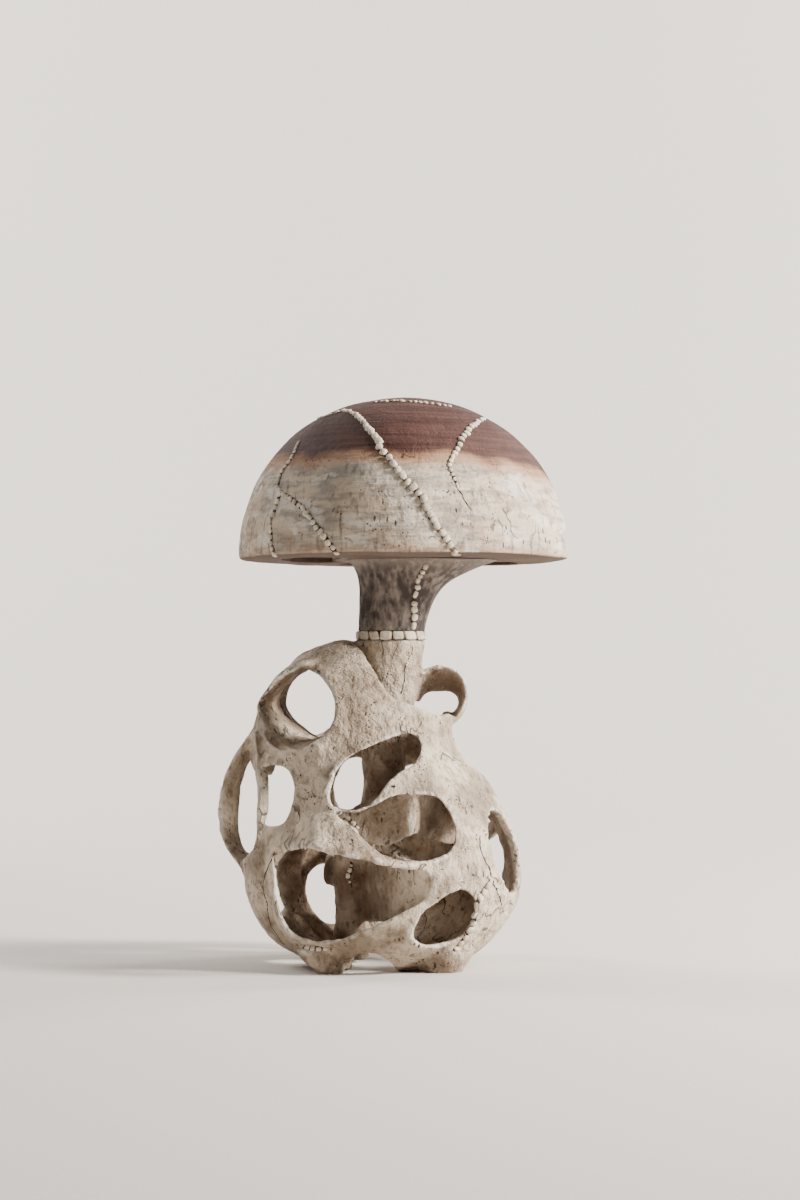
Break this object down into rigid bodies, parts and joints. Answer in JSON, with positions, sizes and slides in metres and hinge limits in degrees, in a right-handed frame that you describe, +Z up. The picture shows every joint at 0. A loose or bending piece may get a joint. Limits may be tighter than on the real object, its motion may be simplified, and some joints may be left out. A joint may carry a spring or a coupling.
{
  "type": "mushroom-shaped ceramic table sculpture",
  "caption": "Hand-built stoneware mushroom sculpture: a hollow glazed dome cap on a flared stem that grows out of an openwork body of pierced clay.",
  "frame": {"origin": "on the resting plane, under the middle of the sculpture's bounding box", "axes": "+Z up; the front, with the lip of clay and the two front feet, faces -Y; +X is to the right seen from the front"},
  "size_m": [0.3983, 0.376, 0.641],
  "materials": {
    "pale_clay": "matte unglazed off-white stoneware with a grey cast, brown stains in its recesses and dark specks",
    "dark_wash": "matte stoneware under a mottled grey-mauve oxide wash",
    "plum_glaze": "satin plum-brown glaze on the crown that fades through tan to off-white slip above the rim",
    "white_stone": "matte pale clay stones with rounded edges"
  },
  "bodies": {
    "root": {"openwork_body": "pale_clay", "upper_stem": "dark_wash", "cap": "plum_glaze", "joint_stone_01": "white_stone", "joint_stone_02": "white_stone", "joint_stone_03": "white_stone", "joint_stone_04": "white_stone", "joint_stone_05": "white_stone", "joint_stone_06": "white_stone", "joint_stone_07": "white_stone", "joint_stone_08": "white_stone", "joint_stone_09": "white_stone", "joint_stone_10": "white_stone", "joint_stone_11": "white_stone", "joint_stone_12": "white_stone", "joint_stone_13": "white_stone", "joint_stone_14": "white_stone", "joint_stone_15": "white_stone", "joint_stone_16": "white_stone"}
  },
  "joints": []
}
